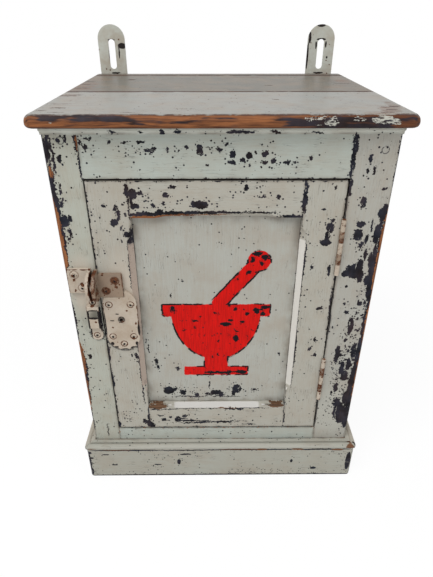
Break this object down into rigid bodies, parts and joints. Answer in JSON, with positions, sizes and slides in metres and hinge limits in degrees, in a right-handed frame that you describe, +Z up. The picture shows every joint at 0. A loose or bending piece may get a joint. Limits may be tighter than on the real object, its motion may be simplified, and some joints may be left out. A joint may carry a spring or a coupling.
{
  "type": "medicine cabinet",
  "caption": "Small painted wooden wall cabinet with a panelled hinged door, moulded plinth, shelves, rim latch, padlock ears and slotted hanging plates.",
  "frame": {"origin": "middle of the floor under the cabinet's bounding box", "axes": "+Z up, +X to the right of a viewer facing the door, +Y to the back, towards the wall"},
  "size_m": [0.4308, 0.3812, 0.6465],
  "materials": {
    "paint_case": "satin",
    "paint_door": "satin",
    "paint_panel": "satin",
    "bare_wood": "matte",
    "painted_iron": "satin",
    "rusty_iron": "matte",
    "screw_steel": "matte",
    "latch_steel": "satin"
  },
  "bodies": {
    "cabinet": {"top_plank_front": "paint_case", "top_plank_rear": "paint_case", "top_back_strip": "paint_case", "bed_moulding": "paint_case", "face_stile_left": "paint_case", "face_stile_right": "paint_case", "face_rail_top": "paint_case", "face_rail_bottom": "paint_case", "side_left_front_board": "paint_case", "side_left_rear_board": "paint_case", "side_right_front_board": "paint_case", "side_right_rear_board": "paint_case", "plinth_front": "paint_case", "plinth_left": "paint_case", "plinth_right": "paint_case", "bottom_board": "bare_wood", "back_board_1": "bare_wood", "back_board_2": "bare_wood", "back_board_3": "bare_wood", "back_board_4": "bare_wood", "shelf_lower": "bare_wood", "shelf_upper": "bare_wood", "shelf_bearer_lower_left": "bare_wood", "shelf_bearer_lower_right": "bare_wood", "shelf_bearer_upper_left": "bare_wood", "shelf_bearer_upper_right": "bare_wood", "door_stop": "bare_wood", "hanging_plate_left": "painted_iron", "hanging_plate_right": "painted_iron", "hinge_frame_leaf_upper": "painted_iron", "hinge_frame_leaf_lower": "painted_iron", "ear_plate_frame": "painted_iron", "latch_keeper": "painted_iron", "hanging_plate_screws": "screw_steel", "hinge_pin_upper": "screw_steel", "hinge_pin_lower": "screw_steel", "hinge_frame_screws": "screw_steel", "ear_plate_frame_screws": "screw_steel", "latch_keeper_screws": "screw_steel"},
    "door": {"door_stile_left": "paint_door", "door_stile_right": "paint_door", "door_rail_top": "paint_door", "door_rail_bottom": "paint_door", "door_panel": "paint_panel", "hinge_door_leaf_upper": "painted_iron", "hinge_door_leaf_lower": "painted_iron", "latch_case": "painted_iron", "ear_plate_door": "rusty_iron", "ear_plate_door_screws": "rusty_iron", "hinge_door_screws": "screw_steel", "latch_case_screws": "screw_steel"},
    "bolt": {"latch_bolt": "latch_steel"},
    "hub": {"latch_hub": "latch_steel"}
  },
  "joints": [
    {"name": "door_swing", "type": "hinge", "parent": "cabinet", "child": "door", "pos_m": [0.1475, -0.1646, 0.2965], "axis": [0, 0, 1], "range_deg": [0, 170]},
    {"name": "hub_turn", "type": "hinge", "parent": "door", "child": "hub", "pos_m": [-0.13445, -0.1646, 0.3071], "axis": [0, -1, 0], "range_deg": [0, 60]},
    {"name": "bolt_throw", "type": "slide", "parent": "door", "child": "bolt", "axis": [-1, 0, 0], "range_m": [0, 0.014]}
  ],
  "couplings": [
    {"joint": "bolt_throw", "follows": "hub_turn", "m_per_rad": 0.01336}
  ]
}
